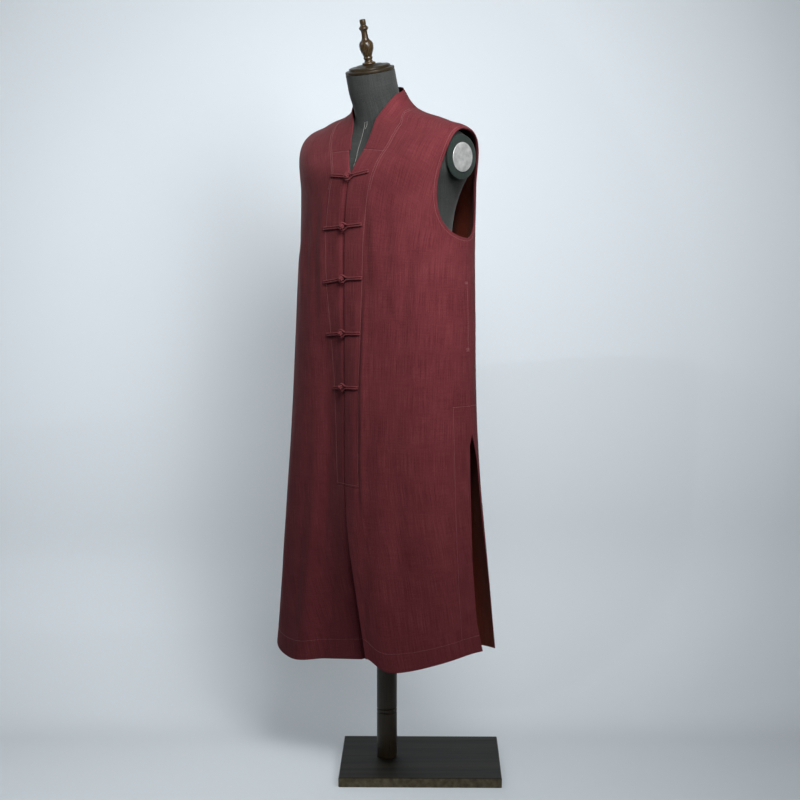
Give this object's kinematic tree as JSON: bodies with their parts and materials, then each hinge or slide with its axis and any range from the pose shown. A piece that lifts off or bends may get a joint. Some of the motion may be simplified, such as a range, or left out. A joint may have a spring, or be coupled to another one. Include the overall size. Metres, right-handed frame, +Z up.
{
  "type": "long sleeveless vest on a limbless dress form",
  "caption": "Long sleeveless cross-collar vest with knotted frog closures and side slits, worn by a limbless dress form on a round post and flat base.",
  "frame": {"origin": "on the floor, on the axis of the stand's post, in the flat underside of the base plate", "axes": "+Z up along the post; -Y the way the vest's front looks; +X towards the wearer's left"},
  "size_m": [0.5389, 0.445, 1.5374],
  "materials": {
    "outer_cloth": "matt, finely woven, deep maroon",
    "facing_cloth": "matt, the same maroon cloth",
    "frog_cord": "matt, rolled bias cord in the same maroon",
    "form_cover": "matt, dark teal grey linen stretched over the form",
    "disc_metal": "plain satin silver disc",
    "cap_wood": "turned, dark stained, satin",
    "stand_wood": "dark stained, satin, worn at the edges"
  },
  "bodies": {
    "root": {"front_left": "outer_cloth", "front_right": "outer_cloth", "back": "outer_cloth", "placket_left": "outer_cloth", "placket_right": "outer_cloth", "collar_band": "outer_cloth", "armhole_facing_left": "facing_cloth", "armhole_facing_right": "facing_cloth", "frog_loop_1": "frog_cord", "frog_knot_1": "frog_cord", "frog_loop_2": "frog_cord", "frog_knot_2": "frog_cord", "frog_loop_3": "frog_cord", "frog_knot_3": "frog_cord", "frog_loop_4": "frog_cord", "frog_knot_4": "frog_cord", "frog_loop_5": "frog_cord", "frog_knot_5": "frog_cord", "form_body": "form_cover", "arm_plate_left": "form_cover", "arm_plate_right": "form_cover", "arm_disc_left": "disc_metal", "arm_disc_right": "disc_metal", "neck_cap": "cap_wood", "finial": "cap_wood", "post": "stand_wood", "post_flange": "stand_wood", "base_plate": "stand_wood"}
  },
  "joints": []
}
